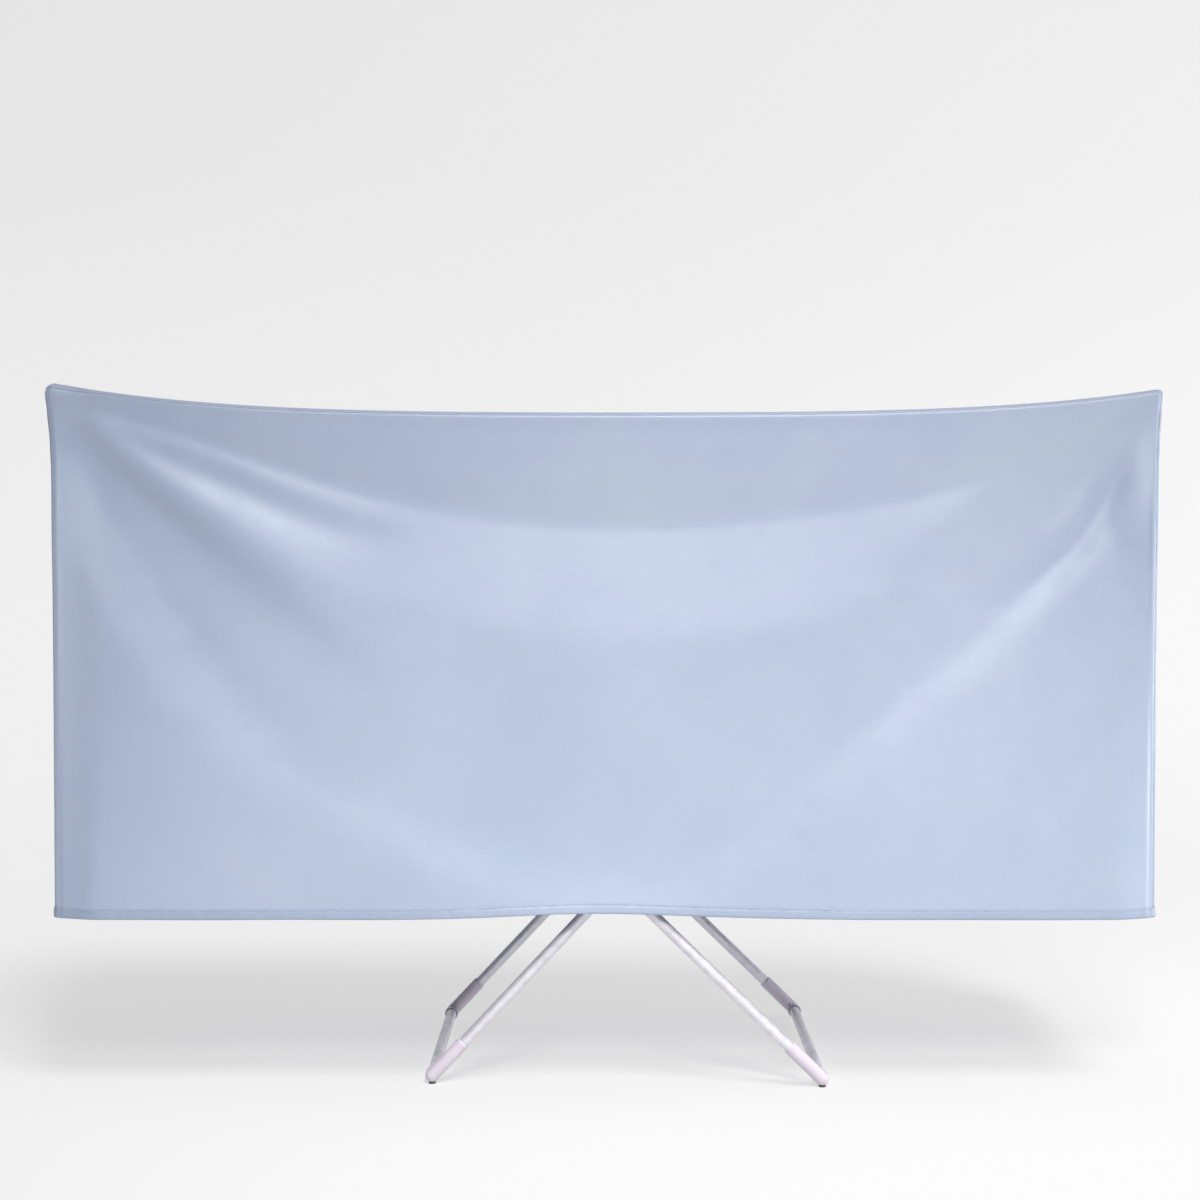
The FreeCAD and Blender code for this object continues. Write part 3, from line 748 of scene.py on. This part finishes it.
def stitches(name, points, normals, pitch, long, wide, high, closed=True):
    """A row of stitches: each is a small rounded grain of thread that dips at both ends."""
    pts, length = polyline(points, closed)
    npts = list(normals) + ([normals[0]] if closed else [])
    v, f = [], []
    count = int(length[-1] / pitch)
    ring, seg = 6, 5
    i = 0
    for c in range(count):
        s0 = (c + 0.5) * length[-1] / count
        while i < len(length) - 2 and length[i + 1] < s0:
            i += 1
        t = (s0 - length[i]) / max(1e-9, length[i + 1] - length[i])
        p = pts[i].lerp(pts[i + 1], t)
        d = (pts[i + 1] - pts[i]).normalized()
        n = npts[i].lerp(npts[i + 1], t).normalized()
        b = d.cross(n).normalized()
        base = len(v)
        for a in range(seg + 1):
            q = a / seg
            r = math.sin(math.pi * (0.08 + 0.84 * q)) ** 0.6
            centre = p + d * (q - 0.5) * long + n * high * (r - 0.75)
            for m_ in range(ring):
                th = 2 * math.pi * m_ / ring
                v.append(centre + b * math.cos(th) * wide * r + n * math.sin(th) * high * 0.7 * r)
        for a in range(seg):
            for m_ in range(ring):
                m2 = (m_ + 1) % ring
                f.append((base + a * ring + m_, base + a * ring + m2, base + (a + 1) * ring + m2, base + (a + 1) * ring + m_))
        f.append(tuple(base + m_ for m_ in range(ring))[::-1])
        f.append(tuple(base + seg * ring + m_ for m_ in range(ring)))
    return make(name, v, f, thread_mat)


row = []
s = 0.0
for k in range(N):
    row.append(side_point(k, 0.0134) + normals[k] * 0.0010)
hem_stitch = stitches("hem_stitching", row, normals, 0.0042, 0.0030, 0.00045, 0.0005)


# ---------------------------------------------------------------- seams
def ridge(name, line, outs, width, height, mat, closed=False, wobble=0.0):
    """A sewn seam: two edges of cloth pressed together into a low narrow ridge along a line."""
    v, f, uv = [], [], []
    prof = [(-1.0, -0.55), (-0.85, 0.25), (-0.35, 0.85), (0.0, 0.62), (0.35, 0.9), (0.85, 0.3), (1.0, -0.55)]
    m = len(prof)
    s = 0.0
    n = len(line)
    for i in range(n):
        a, b = line[max(0, i - 1)], line[min(n - 1, i + 1)]
        d = (b - a).normalized()
        o = outs[i].normalized()
        side = d.cross(o).normalized()
        if i:
            s += (line[i] - line[i - 1]).length
        wob = wobble * noise.noise(Vector((s * 45.0, 2.0, 5.0)))
        for q, r in prof:
            v.append(line[i] + side * q * width + o * (r * height + wob))
            uv.append((s, q * width + 20.0))
    for i in range(n - 1):
        for k in range(m):
            k2 = (k + 1) % m
            f.append((i * m + k, (i + 1) * m + k, (i + 1) * m + k2, i * m + k2))
    f.append(tuple(range(m)))
    f.append(tuple((n - 1) * m + k for k in reversed(range(m))))
    ob = make(name, v, f, mat, uv)
    bm = bmesh.new()
    bm.from_mesh(ob.data)
    bmesh.ops.recalc_face_normals(bm, faces=bm.faces)
    bm.to_mesh(ob.data)
    bm.free()
    return ob


corner_cols = {"front_left": 0, "front_right": F, "rear_right": F + E, "rear_left": 2 * F + E}
seams = []
for key, col in corner_cols.items():
    line, outs = [], []
    p = loop_points(1.0)[col]
    for r in range(0, NZ + NT + 1):
        q = Vector(verts[loops[r][col]])
        line.append(q)
        a = math.pi / 2 * min(1.0, r / NT)
        outs.append(Vector((p[2] * math.sin(a), p[3] * math.sin(a), math.cos(a) + 0.001)))
    keep = [i for i in range(len(line)) if i >= 2 and (line[i].z > HEM_Z + 0.012)]
    seams.append(ridge("seam_" + key, [line[i] for i in keep], [outs[i] for i in keep], 0.0020, 0.0011, seam_mat, wobble=0.0005))
# seam round the top's edge, just where it turns down
mid = NT // 2 + 1
cols = list(range(N)) + [0]
lp = loop_points(1.0)
line = [Vector(verts[loops[mid][k]]) for k in cols]
a = math.pi / 2 * mid / NT
outs = [Vector((lp[k][2] * math.sin(a), lp[k][3] * math.sin(a), math.cos(a))) for k in cols]
seams.append(ridge("seam_top", line, outs, 0.0018, 0.0011, seam_mat, wobble=0.0004))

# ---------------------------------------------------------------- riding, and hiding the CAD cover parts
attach(cover, "cover")
for ob in [hem, hem_stitch] + seams:
    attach(ob, "cover")
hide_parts("cover_top_panel", "cover_front_panel", "cover_back_panel", "cover_left_end", "cover_right_end")
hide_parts("cover_hem")

# ---------------------------------------------------------------- studio
def stage_floor():
    """Floor that curves up into a far wall."""
    prof = [(-7.0, 0.0)]
    prof += [(y, 0.0) for y in (-5.0, -3.0, -1.5, 0.0, 1.5, 3.0, 4.2)]
    R = 2.6
    prof += [(4.2 + R * math.sin(math.radians(a)), R - R * math.cos(math.radians(a))) for a in range(5, 91, 5)]
    prof += [(4.2 + R, 4.0), (4.2 + R, 7.0)]
    v = [(x, y, z) for y, z in prof for x in (-9.0, 9.0)]
    f = [(2 * i, 2 * i + 1, 2 * i + 3, 2 * i + 2) for i in range(len(prof) - 1)]
    m = Mat("studio_paper", (0.27, 0.27, 0.27), 0.9, Specular_IOR_Level=0.1,
            Emission_Color=(1.0, 1.0, 1.0, 1.0), Emission_Strength=0.575)
    n = m.noise(m.scaled(1, 1, 1), 120.0, 3.0)
    mat = m.finish_bump(m.bump(n.outputs["Fac"], 0.05, 0.0005))
    ob = make("studio_floor", v, f, mat)
    return ob


stage_floor()


def area_light(name, loc, target, size, power, color=(1, 1, 1)):
    d = bpy.data.lights.new(name, "AREA")
    d.shape = "RECTANGLE"
    d.size, d.size_y = size
    d.energy = power
    d.color = color
    o = bpy.data.objects.new(name, d)
    o.location = loc
    o.rotation_euler = (Vector(target) - Vector(loc)).to_track_quat("-Z", "Y").to_euler()
    bpy.context.scene.collection.objects.link(o)
    return o


def far_light(name, toward, strength, angle):
    """A broad far-off lamp; toward points from the object to the lamp."""
    d = bpy.data.lights.new(name, "SUN")
    d.energy = strength
    d.angle = math.radians(angle)
    o = bpy.data.objects.new(name, d)
    o.rotation_euler = Vector(toward).to_track_quat("Z", "Y").to_euler()
    bpy.context.scene.collection.objects.link(o)
    return o


def spot_light(name, loc, target, cone, radius, power, color=(1, 1, 1)):
    """A soft-edged lamp, brightest towards its target."""
    d = bpy.data.lights.new(name, "SPOT")
    d.energy = power
    d.color = color
    d.spot_size = math.radians(cone)
    d.spot_blend = 1.0
    d.shadow_soft_size = radius
    o = bpy.data.objects.new(name, d)
    o.location = loc
    o.rotation_euler = (Vector(target) - Vector(loc)).to_track_quat("-Z", "Y").to_euler()
    bpy.context.scene.collection.objects.link(o)
    return o


# the floor and wall are a lit table, so shadows stay faint
far_light("key_overhead", (0.26, -0.46, 0.86), 2.15, 22.0)
spot_light("key_satin", (0.35, -3.9, 3.1), (0.20, -0.28, -0.20), 44.0, 0.6, 560.0, (1.0, 0.97, 0.955))
area_light("front_low", (0.6, -2.7, 0.05), (0.2, -0.28, 0.15), (3.6, 0.3), 13.0)
area_light("fill_right", (2.9, -0.1, 0.7), (0.6, 0.5, 0.0), (1.4, 0.8), 34.0)
area_light("wall_right", (4.6, 2.4, 2.4), (2.6, 6.6, 1.4), (2.4, 2.4), 85.0)
world = bpy.data.worlds.new("studio_world")
bpy.context.scene.world = world
world.use_nodes = True
wt = world.node_tree
bg = wt.nodes["Background"]
bg.inputs["Color"].default_value = (1.0, 1.0, 1.0, 1.0)
bg.inputs["Strength"].default_value = 0.20
bpy.context.scene.view_settings.view_transform = "Standard"
